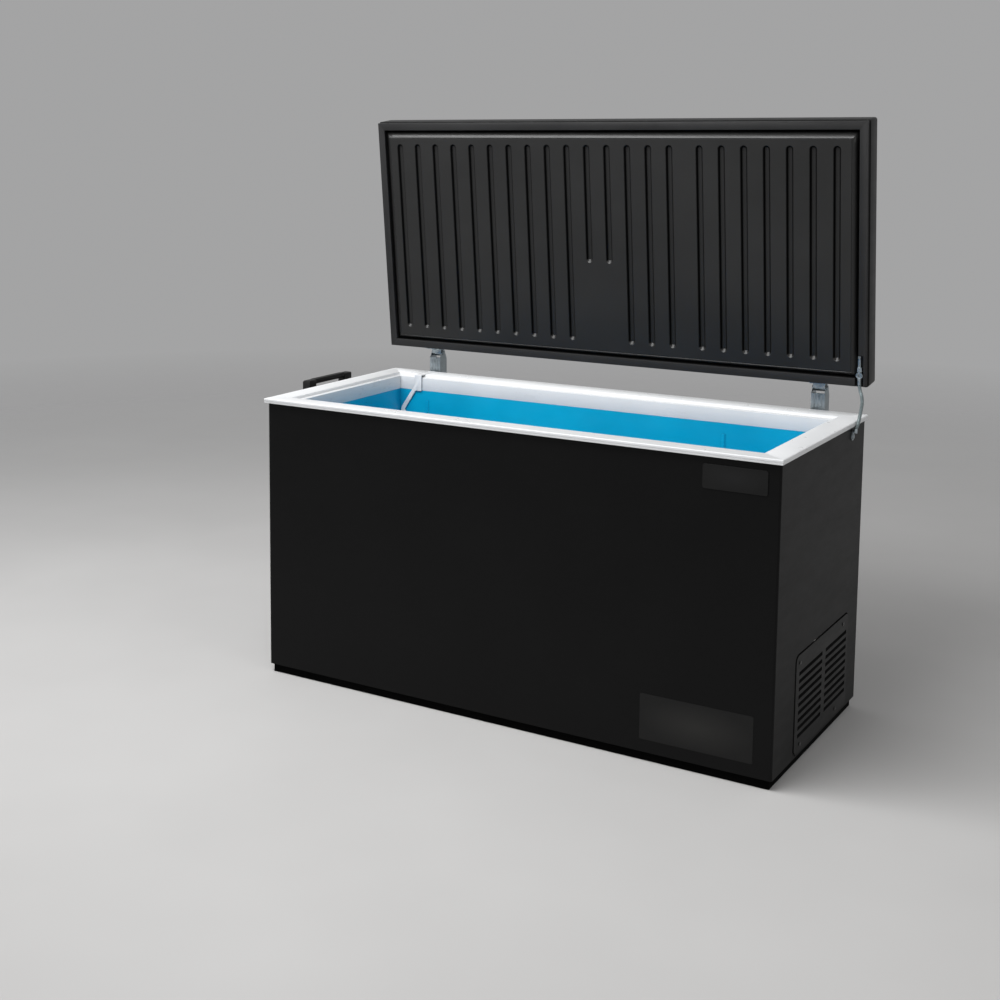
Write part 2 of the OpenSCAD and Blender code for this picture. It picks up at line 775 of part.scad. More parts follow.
module at_feet() {
    for (sx = [-1, 1]) {
        for (sy = [-1, 1]) {
            translate([comp_x + 85 * sx, comp_y + 70 * sy, 0]) children();
        }
    }
}

module compressor_feet() {
    color([0.12, 0.12, 0.12])
    difference() {
        span([comp_x - 100, comp_y - 85, foot_z + 20], [comp_x + 100, comp_y + 85, foot_z + 24]);
        at_feet() cylinder(d = 14.4, h = 200);
    }
}

module compressor_grommets() {
    color([0.05, 0.05, 0.05])
    at_feet() {
        translate([0, 0, foot_z]) cylinder(d = 24, h = 20);
        translate([0, 0, foot_z]) cylinder(d = 14, h = 27);
    }
}

module relay_box() {
    color([0.15, 0.15, 0.16])
    span([comp_x - 28, comp_y - 112, foot_z + 60], [comp_x + 28, comp_y - 80.3, foot_z + 120]);
}

cond_y = bay_y + 30;

module condenser() {
    color([0.1, 0.1, 0.1]) {
        for (i = [0:14]) {
            span([fan_x - 105 + 14.8 * i, cond_y, 50], [fan_x - 104 + 14.8 * i + 0.8, cond_y + 40, 266]);
        }
        for (z = [70:36:250]) {
            for (y = [cond_y + 12, cond_y + 28]) {
                bar([fan_x - 112, y, z], [fan_x + 111, y, z], 8);
            }
        }
        for (s = [-1, 1]) {
            span([fan_x + 108 * s - 1, cond_y - 2, foot_z], [fan_x + 108 * s + 1, cond_y + 44, 270]);
        }
    }
}

shroud_y = cond_y + 46;

module fan_shroud() {
    color([0.06, 0.06, 0.06])
    difference() {
        union() {
            span([fan_x - 112, shroud_y, foot_z], [fan_x + 112, shroud_y + 2, 272]);
            translate([fan_x, shroud_y + 28, fan_z]) rotate([90, 0, 0]) cylinder(r = 98, h = 27);
        }
        translate([fan_x, shroud_y + 40, fan_z]) rotate([90, 0, 0]) cylinder(r = 95.5, h = 60);
    }
}

module fan_motor() {
    my = shroud_y + 34;
    color([0.2, 0.2, 0.21])
    difference() {
        union() {
            translate([fan_x, my + 44, fan_z]) rotate([90, 0, 0]) cylinder(r = 34, h = 44);
            span([fan_x - 100, my + 12, fan_z - 8], [fan_x + 100, my + 16, fan_z + 8]);
            for (s = [-1, 1]) {
                span([fan_x + 101 * s - 2, shroud_y + 2, fan_z - 8],
                    [fan_x + 101 * s + 2, my + 16, fan_z + 8]);
            }
        }
        translate([fan_x, my + 26, fan_z]) rotate([90, 0, 0]) cylinder(r = 3.05, h = 60);
    }
}

module fan_rotor() {
    my = shroud_y + 34;
    color([0.5, 0.52, 0.54])
    translate([fan_x, my - 6, fan_z]) rotate([90, 0, 0]) {
        translate([0, 0, -30]) cylinder(r = 3, h = 32);
        cylinder(r = 22, h = 20);
        for (i = [0:4]) {
            rotate([0, 0, 72 * i]) translate([18, 0, 10]) rotate([28, 0, 0]) span([0, -26, -1], [66, 26, 1]);
        }
    }
}

module filter_dryer() {
    color([0.72, 0.45, 0.25])
    translate([bay_x + 22, cond_y + 70, 60]) {
        cylinder(d = 20, h = 90);
        translate([0, 0, 90]) cylinder(d1 = 20, d2 = 6, h = 12);
        translate([0, 0, -12]) cylinder(d1 = 6, d2 = 20, h = 12);
    }
}

// Discharge line, suction line and the thin line from the dryer.
module refrigerant_pipes() {
    dx = bay_x + 22;
    dy = cond_y + 70;
    color([0.72, 0.45, 0.25]) {
        run([[comp_x + 30, comp_y, foot_z + 174], [comp_x + 30, comp_y, foot_z + 200],
            [fan_x + 118, comp_y, foot_z + 200], [fan_x + 118, cond_y + 28, foot_z + 200],
            [fan_x + 118, cond_y + 28, 250], [fan_x + 111, cond_y + 28, 250]], 6);
        run([[comp_x - 30, comp_y, foot_z + 174], [comp_x - 30, comp_y, foot_z + 220],
            [comp_x - 30, by - 40, foot_z + 220], [comp_x - 30, by - 40, bay_top]], 8);
        run([[dx, dy, 162], [dx, dy, 200], [dx, by - 60, 200], [dx, by - 60, bay_top]], 4);
        run([[dx, dy, 48], [dx, dy, 36], [dx, cond_y + 28, 36], [dx, cond_y + 28, 70],
            [fan_x - 112, cond_y + 28, 70]], 5);
    }
}

module thermostat() {
    color([0.2, 0.2, 0.2])
    difference() {
        union() {
            span([knob_x - 22, by - panel_t - 34, knob_z - 20],
                [knob_x + 22, by - panel_t - 0.1, knob_z + 20]);
            translate([knob_x, by - 2, knob_z]) rotate([-90, 0, 0]) cylinder(d = 11, h = 3);
        }
        translate([knob_x, by - 14, knob_z]) rotate([-90, 0, 0]) cylinder(r = 3.05, h = 40);
    }
}

module thermostat_knob() {
    color([0.03, 0.03, 0.03])
    translate([knob_x, 0, knob_z]) {
        translate([0, by - 12, 0]) rotate([-90, 0, 0]) cylinder(r = 3, h = 14);
        translate([0, by + 1.5, 0]) rotate([-90, 0, 0]) cylinder(r = 17, h = 4);
        translate([0, by + 5.4, 0]) rotate([-90, 0, 0]) cylinder(r = 13, h = 9);
        span([-1, by + 14.3, 2], [1, by + 15.2, 12]);
    }
}

module drain_tube() {
    color([0.86, 0.88, 0.9])
    translate([drain_x, drain_y, 0]) difference() {
        union() {
            translate([0, 0, 6]) cylinder(d = 20, h = cav_floor - 6);
            translate([0, 0, cav_floor]) cylinder(d = 36, h = 1.5);
        }
        translate([0, 0, 3]) cylinder(d = 16, h = 200);
    }
}

module drain_plug() {
    color([0.86, 0.88, 0.9])
    translate([drain_x, drain_y, cav_floor]) {
        translate([0, 0, -20]) cylinder(r = 7.94, h = 21.6);
        translate([0, 0, 1.55]) cylinder(r = 15, h = 4);
        span([-3, -11, 5.5], [3, 11, 14]);
    }
}

module cord_gland() {
    color([0.04, 0.04, 0.04])
    translate([gland_x, by, gland_z]) rotate([-90, 0, 0]) difference() {
        union() {
            translate([0, 0, -6]) cylinder(d = 18, h = 10);
            cylinder(d = 25, h = 4);
            cylinder(d = 15, h = 12);
        }
        translate([0, 0, -20]) cylinder(r = 4, h = 50);
    }
}

// ---------- what is drawn ----------

front_panel();
left_panel();
right_panel();
back_panel();
base_pan();
front_plinth();
rear_plinth();
cross_plinths();
foam_insulation();
liner_front();
liner_rear();
liner_left();
liner_right();
liner_floor();
liner_step();
evaporator_coil();
rim_front();
rim_rear();
rim_left();
rim_right();
lid_shell();
lid_foam();
lid_liner();
lid_gasket();
hinge_brackets();
hinge_pins();
hinge_leaves();
hinge_springs();
bracket_screws();
leaf_screws();
stay_rope();
stay_lower_clamp();
stay_upper_anchor();
ice_scraper();
scraper_clip();
handle_grip();
handle_arms();
handle_screws();
badge_plate();
info_label();
service_cover();
cover_screws();
bay_liner();
compressor();
compressor_feet();
compressor_grommets();
relay_box();
condenser();
fan_shroud();
fan_motor();
fan_rotor();
filter_dryer();
refrigerant_pipes();
thermostat();
thermostat_knob();
drain_tube();
drain_plug();
cord_gland();
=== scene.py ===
import json
import math

import bmesh
import bpy
from mathutils import Matrix, Vector


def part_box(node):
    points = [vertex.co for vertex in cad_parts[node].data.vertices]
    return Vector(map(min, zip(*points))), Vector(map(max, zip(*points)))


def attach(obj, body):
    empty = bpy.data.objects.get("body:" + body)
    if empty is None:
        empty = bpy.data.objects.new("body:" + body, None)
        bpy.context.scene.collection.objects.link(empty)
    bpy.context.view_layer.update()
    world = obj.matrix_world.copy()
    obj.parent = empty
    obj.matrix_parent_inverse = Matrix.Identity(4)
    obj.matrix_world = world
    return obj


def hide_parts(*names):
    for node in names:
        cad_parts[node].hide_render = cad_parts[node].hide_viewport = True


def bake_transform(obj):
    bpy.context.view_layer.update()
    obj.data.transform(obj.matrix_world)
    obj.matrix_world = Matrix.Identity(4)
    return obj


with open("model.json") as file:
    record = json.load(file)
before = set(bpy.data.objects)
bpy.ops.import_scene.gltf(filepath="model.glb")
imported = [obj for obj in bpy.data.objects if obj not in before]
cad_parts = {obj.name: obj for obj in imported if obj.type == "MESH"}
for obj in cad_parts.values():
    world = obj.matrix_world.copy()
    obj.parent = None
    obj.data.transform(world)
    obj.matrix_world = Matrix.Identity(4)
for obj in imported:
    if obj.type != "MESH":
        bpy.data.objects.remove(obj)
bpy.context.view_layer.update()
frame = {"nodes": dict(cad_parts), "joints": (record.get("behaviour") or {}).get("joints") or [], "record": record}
NODES = frame["nodes"]
MM = 0.001

# ---------------------------------------------------------------- camera

cam_data = bpy.data.cameras.new("camera")
cam = bpy.data.objects.new("camera", cam_data)
bpy.context.scene.collection.objects.link(cam)
cam.location = (1.8564, -3.7332, 1.5477)
cam.rotation_euler = (math.radians(90 - 7.07), 0, math.radians(33.59))
cam_data.sensor_width = 36
cam_data.lens = 54.77
cam_data.shift_x = 0.1311
cam_data.shift_y = -0.1761
bpy.context.scene.camera = cam

# ---------------------------------------------------------------- frame facts

LID = next(j for j in frame["joints"] if j["name"] == "lid_hinge")
HINGE = Vector(LID["pos_m"])
OPEN = math.radians(LID["range_deg"][1])
# carries a point of the closed lid to the open lid that the CAD stores
SWING = Matrix.Translation(HINGE) @ Matrix.Rotation(-OPEN, 4, "X") @ Matrix.Translation(-HINGE)


def add_object(name, mesh, body, material):
    obj = bpy.data.objects.new(name, mesh)
    bpy.context.scene.collection.objects.link(obj)
    obj.data.materials.clear()
    obj.data.materials.append(material)
    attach(obj, body)
    return obj


def smooth(mesh, degrees=35):
    for p in mesh.polygons:
        p.use_smooth = True
    mesh.set_sharp_from_angle(angle=math.radians(degrees))


# ---------------------------------------------------------------- materials

def new_material(name):
    m = bpy.data.materials.new(name)
    m.use_nodes = True
    tree = m.node_tree
    tree.nodes.clear()
    out = tree.nodes.new("ShaderNodeOutputMaterial")
    bsdf = tree.nodes.new("ShaderNodeBsdfPrincipled")
    tree.links.new(bsdf.outputs["BSDF"], out.inputs["Surface"])
    return m, tree, bsdf


def tex_noise(tree, vector, scale, detail=3.0, rough=0.55):
    n = tree.nodes.new("ShaderNodeTexNoise")
    n.inputs["Scale"].default_value = scale
    n.inputs["Detail"].default_value = detail
    n.inputs["Roughness"].default_value = rough
    tree.links.new(vector, n.inputs["Vector"])
    return n.outputs["Fac"]


def map_range(tree, value, lo, hi, from_lo=0.3, from_hi=0.7):
    n = tree.nodes.new("ShaderNodeMapRange")
    n.inputs["From Min"].default_value = from_lo
    n.inputs["From Max"].default_value = from_hi
    n.inputs["To Min"].default_value = lo
    n.inputs["To Max"].default_value = hi
    tree.links.new(value, n.inputs["Value"])
    return n.outputs["Result"]


def mix_colour(tree, factor, a, b):
    n = tree.nodes.new("ShaderNodeMix")
    n.data_type = "RGBA"
    for key, colour in (("A", a), ("B", b)):
        socket = [s for s in n.inputs if s.name == key and s.type == "RGBA"][0]
        if isinstance(colour, (tuple, list)):
            socket.default_value = (*colour, 1.0)
        else:
            tree.links.new(colour, socket)
    tree.links.new(factor, [s for s in n.inputs if s.name == "Factor" and s.type == "VALUE"][0])
    return [s for s in n.outputs if s.type == "RGBA"][0]


def stretched(tree, vector, scale):
    n = tree.nodes.new("ShaderNodeMapping")
    n.inputs["Scale"].default_value = scale
    tree.links.new(vector, n.inputs["Vector"])
    return n.outputs["Vector"]


def bump(tree, height, strength, distance, normal=None):
    n = tree.nodes.new("ShaderNodeBump")
    n.inputs["Strength"].default_value = strength
    n.inputs["Distance"].default_value = distance
    tree.links.new(height, n.inputs["Height"])
    if normal is not None:
        tree.links.new(normal, n.inputs["Normal"])
    return n.outputs["Normal"]


def object_coords(tree):
    return tree.nodes.new("ShaderNodeTexCoord").outputs["Object"]


def finish_material(name, dark, light, rough, rough_spread=0.06, metallic=0.0, specular=0.5, patch=4.0,
                    grain=700.0, grain_height=0.00004, coat=0.0, corner_shade=None, corner_shade_reach=0.02, waves=None):
    """Patchy colour, patchy roughness and a fine grain.

    corner_shade is the colour of painted shade in inner corners, where ambient occlusion finds them, and waves is
    the scale and the height of a coarser unevenness.
    """
    m, tree, bsdf = new_material(name)
    v = object_coords(tree)
    patches = tex_noise(tree, v, patch, 4.0)
    colour = mix_colour(tree, map_range(tree, patches, 0, 1), dark, light)
    if corner_shade:
        # painted shade: ambient occlusion darkens the colour towards corner_shade in inner corners and creases
        ao = tree.nodes.new("ShaderNodeAmbientOcclusion")
        ao.samples = 6
        ao.inputs["Distance"].default_value = corner_shade_reach
        colour = mix_colour(tree, map_range(tree, ao.outputs["AO"], 0.75, 0.0, 0.25, 0.95), colour, corner_shade)
    tree.links.new(colour, bsdf.inputs["Base Color"])
    smear = tex_noise(tree, stretched(tree, v, (2.0, 2.0, 7.0)), 5.0, 5.0, 0.65)
    tree.links.new(map_range(tree, smear, rough - rough_spread, rough + rough_spread),
                   bsdf.inputs["Roughness"])
    bsdf.inputs["Metallic"].default_value = metallic
    bsdf.inputs["Specular IOR Level"].default_value = specular
    if coat:
        bsdf.inputs["Coat Weight"].default_value = coat
        bsdf.inputs["Coat Roughness"].default_value = 0.25
    normal = bump(tree, tex_noise(tree, v, grain, 2.0), 0.6, grain_height)
    if waves:
        normal = bump(tree, tex_noise(tree, v, waves[0], 2.0), 0.5, waves[1], normal)
    tree.links.new(normal, bsdf.inputs["Normal"])
    return m


def paint_groove_wall_shade(material, dark, gloss, wall_gloss):
    """Paint shade on the places that a mesh marks with groove_wall: a darker colour and a lower specular level."""
    tree = material.node_tree
    bsdf = next(n for n in tree.nodes if n.type == "BSDF_PRINCIPLED")
    mark = tree.nodes.new("ShaderNodeAttribute")
    mark.attribute_name = "groove_wall"
    shade_amount = map_range(tree, mark.outputs["Fac"], 0.0, 0.93, 0.0, 1.0)
    base = bsdf.inputs["Base Color"].links[0].from_socket
    tree.links.new(mix_colour(tree, shade_amount, base, dark), bsdf.inputs["Base Color"])
    tree.links.new(map_range(tree, shade_amount, gloss, wall_gloss, 0.0, 1.0), bsdf.inputs["Specular IOR Level"])


def plate_material(name, centre, size, edge, middle):
    """Dark plate whose colour is a little lighter round its middle; size is its half width and half height."""
    m, tree, bsdf = new_material(name)
    v = object_coords(tree)
    shift = tree.nodes.new("ShaderNodeMapping")
    shift.vector_type = "POINT"
    shift.inputs["Location"].default_value = (-centre[0] / size[0], 0, -centre[2] / size[1])
    shift.inputs["Scale"].default_value = (1 / size[0], 0.001, 1 / size[1])
    tree.links.new(v, shift.inputs["Vector"])
    ball = tree.nodes.new("ShaderNodeTexGradient")
    ball.gradient_type = "SPHERICAL"
    tree.links.new(shift.outputs["Vector"], ball.inputs["Vector"])
    glow = map_range(tree, ball.outputs["Fac"], 0, 1, 0.0, 0.9)
    tree.links.new(mix_colour(tree, glow, edge, middle), bsdf.inputs["Base Color"])
    rough = map_range(tree, tex_noise(tree, stretched(tree, v, (60, 60, 900)), 2.0, 3.0), 0.4, 0.55)
    tree.links.new(rough, bsdf.inputs["Roughness"])
    bsdf.inputs["Specular IOR Level"].default_value = 0.3
    tree.links.new(bump(tree, tex_noise(tree, v, 900, 2.0), 0.5, 0.00003), bsdf.inputs["Normal"])
    return m


def zinc_material(name, dark, light, rough, cell=160.0):
    """Zinc plated steel: spangles, fine drawn scratches and a slight cloudiness."""
    m, tree, bsdf = new_material(name)
    v = object_coords(tree)
    cells = tree.nodes.new("ShaderNodeTexVoronoi")
    cells.inputs["Scale"].default_value = cell
    tree.links.new(v, cells.inputs["Vector"])
    grey = tree.nodes.new("ShaderNodeRGBToBW")
    tree.links.new(cells.outputs["Color"], grey.inputs["Color"])
    cloud = tex_noise(tree, v, 35, 4.0)
    both = tree.nodes.new("ShaderNodeMath")
    both.operation = "MULTIPLY_ADD"
    tree.links.new(grey.outputs["Val"], both.inputs[0])
    both.inputs[1].default_value = 0.35
    tree.links.new(cloud, both.inputs[2])
    tree.links.new(mix_colour(tree, map_range(tree, both.outputs[0], 0, 1, 0.45, 0.95), dark, light),
                   bsdf.inputs["Base Color"])
    tree.links.new(map_range(tree, both.outputs[0], rough - 0.08, rough + 0.08, 0.45, 0.95),
                   bsdf.inputs["Roughness"])
    bsdf.inputs["Metallic"].default_value = 1.0
    scratches = tex_noise(tree, stretched(tree, v, (30, 900, 900)), 1.0, 3.0)
    tree.links.new(bump(tree, scratches, 0.4, 0.00004), bsdf.inputs["Normal"])
    return m


PAINT = finish_material("black_paint", (0.0022, 0.0022, 0.0023), (0.003, 0.003, 0.0031), 0.42, 0.025,
                        specular=0.13, grain=420, grain_height=0.00004)
PAINT_LID = finish_material("lid_paint", (0.003, 0.003, 0.0031), (0.0045, 0.0045, 0.0046), 0.4, 0.03,
                            specular=0.18, grain=420, grain_height=0.00004)
# black plinth, darker than the black plastic and paint: partly its own black, partly painted shade of the dark
# band under the cabinet
PLINTH_BLACK_AND_SHADE = finish_material("plinth_black_and_shade", (0.0008, 0.0008, 0.0008), (0.0016, 0.0016, 0.0016), 0.85, 0.05,
                         specular=0.04, grain=900, grain_height=0.00008)
BLACK = finish_material("black_plastic", (0.004, 0.004, 0.004), (0.008, 0.008, 0.008), 0.5, 0.06,
                        specular=0.3, grain=1500, grain_height=0.00008)
# corner_shade below is painted shade in the inner corners of the cover, rim, lining, lid inner face and seal
COVER = finish_material("cover_plastic", (0.0042, 0.0042, 0.0042), (0.0062, 0.0062, 0.0062), 0.46, 0.04,
                        specular=0.24, grain=1300, grain_height=0.00006, corner_shade=(0.001, 0.001, 0.001),
                        corner_shade_reach=0.006)
# painted shade: the louvre blades are coloured far darker than the cover plastic so that the slots look shadowed
SHADED_BLADE = finish_material("cover_blades_painted_shade", (0.0008, 0.0008, 0.0008), (0.0014, 0.0014, 0.0014), 0.7, 0.05,
                        specular=0.06, grain=1300, grain_height=0.00006)
WHITE = finish_material("white_plastic", (0.71, 0.722, 0.735), (0.77, 0.78, 0.79), 0.3, 0.04, specular=0.4,
                        patch=6, grain=900, grain_height=0.00003, corner_shade=(0.42, 0.44, 0.45), corner_shade_reach=0.008)
BLUE = finish_material("blue_lining", (0.0, 0.34, 0.57), (0.002, 0.43, 0.69), 0.38, 0.06, specular=0.4,
                       patch=3, grain=260, grain_height=0.00018, waves=(16, 0.0004),
                       corner_shade=(0.0, 0.13, 0.30), corner_shade_reach=0.05)
INNER = finish_material("lid_inner_plastic", (0.017, 0.017, 0.0169), (0.021, 0.021, 0.0209), 0.34, 0.04,
                        specular=0.5, patch=5, grain=900, grain_height=0.00005, corner_shade=(0.001, 0.001, 0.001),
                        corner_shade_reach=0.014)
SEAL = finish_material("seal_rubber", (0.010, 0.010, 0.0105), (0.018, 0.018, 0.0185), 0.6, 0.08, specular=0.35,
                       grain=800, grain_height=0.0001, corner_shade=(0.003, 0.003, 0.003), corner_shade_reach=0.01)
FOAM = finish_material("yellow_foam", (0.55, 0.44, 0.22), (0.78, 0.68, 0.42), 0.85, 0.05, specular=0.1,
                       grain=350, grain_height=0.0006)
# painted shade: the walls of the grooves in the lid inner face are darkened and lose specular
paint_groove_wall_shade(INNER, (0.001, 0.001, 0.001), 0.3, 0.05)
ZINC = zinc_material("zinc_steel", (0.29, 0.33, 0.35), (0.43, 0.48, 0.51), 0.42)
SLEEVE = finish_material("rope_sleeve", (0.13, 0.16, 0.165), (0.21, 0.25, 0.26), 0.45, 0.06, metallic=0.35,
                         specular=0.4, patch=60, grain=900, grain_height=0.00006)
SHEET = zinc_material("zinc_sheet", (0.34, 0.35, 0.36), (0.58, 0.60, 0.62), 0.45, 60.0)
ALU = zinc_material("aluminium", (0.42, 0.42, 0.43), (0.66, 0.66, 0.67), 0.4, 300.0)
COPPER = finish_material("copper", (0.50, 0.20, 0.10), (0.82, 0.42, 0.26), 0.32, 0.08, metallic=1.0,
                         patch=40, grain=600, grain_height=0.00004)
ENAMEL = finish_material("black_enamel", (0.004, 0.004, 0.004), (0.009, 0.009, 0.009), 0.22, 0.05,
                         specular=0.5, grain=300, grain_height=0.00005, coat=0.4)
SPRING = finish_material("spring_steel", (0.10, 0.105, 0.11), (0.24, 0.25, 0.26), 0.35, 0.08, metallic=1.0,
                         patch=120, grain=900, grain_height=0.00005)

SLOT_MATERIAL = {
    "black_paint": PAINT, "dark_plinth": PLINTH_BLACK_AND_SHADE, "zinc_sheet": SHEET, "black_plastic": BLACK, "foam": FOAM,
    "blue_liner": BLUE, "tube_aluminium": ALU, "white_plastic": WHITE, "lid_inner": INNER, "soft_seal": SEAL,
    "zinc_steel": ZINC, "grey_plate": BLACK, "black_enamel": ENAMEL, "copper_tube": COPPER,
}
SLOT_OF = {s["node"]: s["material_slot"] for s in frame["record"]["subparts"]}
BODY_OF = {n: b for b, ns in frame["record"]["behaviour"]["bodies"].items() for n in ns}


def set_material(node, material):
    NODES[node].data.materials.clear()
    NODES[node].data.materials.append(material)


for node in NODES:
    set_material(node, SLOT_MATERIAL[SLOT_OF[node]])
for node, edge, middle in (("badge_plate", (0.0012, 0.0012, 0.0012), (0.0045, 0.0046, 0.0048)),
                           ("info_label", (0.0018, 0.0018, 0.0017), (0.0135, 0.0132, 0.0122))):
    lo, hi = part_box(node)
    middle_point = (lo + hi) / 2
    half = ((hi.x - lo.x) * 0.5, (hi.z - lo.z) * 0.5)
    set_material(node, plate_material(node + "_finish", middle_point, half, edge, middle))

# ---------------------------------------------------------------- lid stay rope

ROPE_R = 4.5 * MM
ROPE_LAY = 26 * MM
ROPE = [Vector(p) * MM for p in (
    (730, 327, 887.9), (730.4, 327.8, 879.5), (732.6, 327.3, 870), (737, 323.5, 861), (742, 313, 852),
    (747.5, 296, 843.5), (752, 275, 835), (755.8, 255, 827), (758, 242, 819.5), (758.4, 233.5, 810.5),
    (757.8, 229, 801), (755.6, 227, 792), (752, 226, 784))]


def smooth_path(points, per_span):
    """Catmull-Rom curve through points."""
    ext = [2 * points[0] - points[1]] + points + [2 * points[-1] - points[-2]]
    out = []
    for i in range(1, len(ext) - 2):
        p0, p1, p2, p3 = ext[i - 1:i + 3]
        for k in range(per_span):
            t = k / per_span
            out.append(0.5 * ((2 * p1) + (p2 - p0) * t + (2 * p0 - 5 * p1 + 4 * p2 - p3) * t * t
                              + (3 * p1 - p0 - 3 * p2 + p3) * t * t * t))
    out.append(points[-1].copy())
    return out


def sweep(path, radius_at, sides):
    """Tube mesh along a path; radius_at(ring, angle, length so far) gives the radius."""
    bm = bmesh.new()
    rings = []
    up = Vector((0, 0, 1))
    travelled = 0.0
    frame_up = None
    for i, p in enumerate(path):
        t = (path[min(i + 1, len(path) - 1)] - path[max(i - 1, 0)]).normalized()
        if frame_up is None:
            frame_up = up if abs(t.z) < 0.9 else Vector((0, 1, 0))
        a = (frame_up - t * frame_up.dot(t)).normalized()
        frame_up = a
        b = t.cross(a)
        if i:
            travelled += (p - path[i - 1]).length
        ring = []
        for k in range(sides):
            w = 2 * math.pi * k / sides
            r = radius_at(i, w, travelled)
            ring.append(bm.verts.new(p + a * (r * math.cos(w)) + b * (r * math.sin(w))))
        rings.append(ring)
    for r0, r1 in zip(rings, rings[1:]):
        for k in range(sides):
            m = (k + 1) % sides
            bm.faces.new((r0[k], r0[m], r1[m], r1[k]))
    bm.faces.new(list(reversed(rings[0])))
    bm.faces.new(rings[-1])
    bmesh.ops.recalc_face_normals(bm, faces=bm.faces)
    mesh = bpy.data.meshes.new("tube")
    bm.to_mesh(mesh)
    bm.free()
    return mesh


rope_path = smooth_path(ROPE, 10)


def strands(i, angle, travelled):
    """Three twisted strands under a thin sleeve."""
    return ROPE_R * (0.9 + 0.1 * abs(math.cos(1.5 * (angle - 2 * math.pi * travelled / ROPE_LAY))))


rope_mesh = sweep(rope_path, strands, 36)
smooth(rope_mesh, 60)
rope = bpy.data.objects.new("lid_stay_rope", rope_mesh)
bpy.context.scene.collection.objects.link(rope)
rope.data.materials.append(SLEEVE)
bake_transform(rope)
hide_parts("stay_rope")

# ---------------------------------------------------------------- softened copies of CAD pieces


def softened(node, width, material=None, segments=3, angle=38, keep_faces=False):
    """A copy of a CAD node with its sharp edges rounded, which stands for the node."""
    src = NODES[node]
    bm = bmesh.new()
    bm.from_mesh(src.data)
    bmesh.ops.remove_doubles(bm, verts=bm.verts, dist=2e-6)
    if not keep_faces:
        bmesh.ops.dissolve_limit(bm, angle_limit=math.radians(0.6), verts=bm.verts, edges=bm.edges)
    mesh = bpy.data.meshes.new(node + "_soft")
    bm.to_mesh(mesh)
    bm.free()
    for p in mesh.polygons:
        p.use_smooth = True
    obj = add_object(node + "_soft", mesh, BODY_OF[node], material or SLOT_MATERIAL[SLOT_OF[node]])
    mod = obj.modifiers.new("edges", "BEVEL")
    mod.width = width
    mod.segments = segments
    mod.limit_method = "ANGLE"
    mod.angle_limit = math.radians(angle)
    mod.harden_normals = True
    mod.use_clamp_overlap = True
    mod.miter_outer = "MITER_ARC"
    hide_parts(node)
    return obj


for node, width in (("rim_front", 1.1), ("rim_rear", 1.1), ("rim_left", 1.1), ("rim_right", 1.1),
                    ("front_plinth", 2.0), ("rear_plinth", 2.0), ("cross_plinths", 2.0),
                    ("handle_grip", 3.0), ("ice_scraper", 0.8), ("relay_box", 2.0)):
    softened(node, width * MM)
# these have holes through their faces, so their faces stay as they are
for node, width in (("handle_arms", 1.2), ("drain_plug", 0.7), ("hinge_brackets", 0.35), ("hinge_leaves", 0.35),
                    ("stay_lower_clamp", 0.4), ("stay_upper_anchor", 0.5), ("lid_gasket", 0.8),
                    ("thermostat_knob", 0.7), ("thermostat", 0.8), ("cord_gland", 0.6)):
    softened(node, width * MM, keep_faces=True)
softened("badge_plate", 0.5 * MM, NODES["badge_plate"].data.materials[0])
set_material("service_cover", COVER)

# ---------------------------------------------------------------- louvre blades of the service cover

cover_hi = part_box("service_cover")[1]
# Y range of each column of slots, and the lower edge of the top slot under the top of the cover
LOUVRES = ((-0.155, 0.030), (0.057, 0.235))
LOUVRE_ROWS = 9
LOUVRE_TOP = cover_hi.z - 0.0535
LOUVRE_STEP = 0.020
bm = bmesh.new()
for y0, y1 in LOUVRES:
    for row in range(LOUVRE_ROWS):
        low = LOUVRE_TOP - LOUVRE_STEP * row
        # cross section of one blade: rises inwards from the lower edge of its slot, with a rounded lip
        section = [(cover_hi.x - 0.0002, low + 0.0001), (cover_hi.x + 0.0006, low + 0.0006),
                   (cover_hi.x + 0.0008, low + 0.0012), (cover_hi.x + 0.0002, low + 0.0016),
                   (cover_hi.x - 0.0090, low + 0.0078), (cover_hi.x - 0.0095, low + 0.0066)]
        ends = [[bm.verts.new((x, y, z)) for x, z in section] for y in (y0 + 0.0004, y1 - 0.0004)]
        for k in range(len(section)):
            m = (k + 1) % len(section)
            bm.faces.new((ends[0][k], ends[0][m], ends[1][m], ends[1][k]))
        bm.faces.new(ends[0])
        bm.faces.new(list(reversed(ends[1])))
bmesh.ops.recalc_face_normals(bm, faces=bm.faces)
blades = bpy.data.meshes.new("louvre_blades")
bm.to_mesh(blades)
bm.free()
smooth(blades, 40)
add_object("louvre_blades", blades, "cabinet", SHADED_BLADE)

# ---------------------------------------------------------------- lid outside

# half sizes of the closed lid, and the heights of its underside and its top
LX, LY = 0.753, 0.356
LZ0 = HINGE.z - 0.044
LZ1 = LZ0 + 0.060
LID_CORNER, LID_TOP_EDGE, LID_LOW_EDGE = 0.007, 0.0034, 0.0015


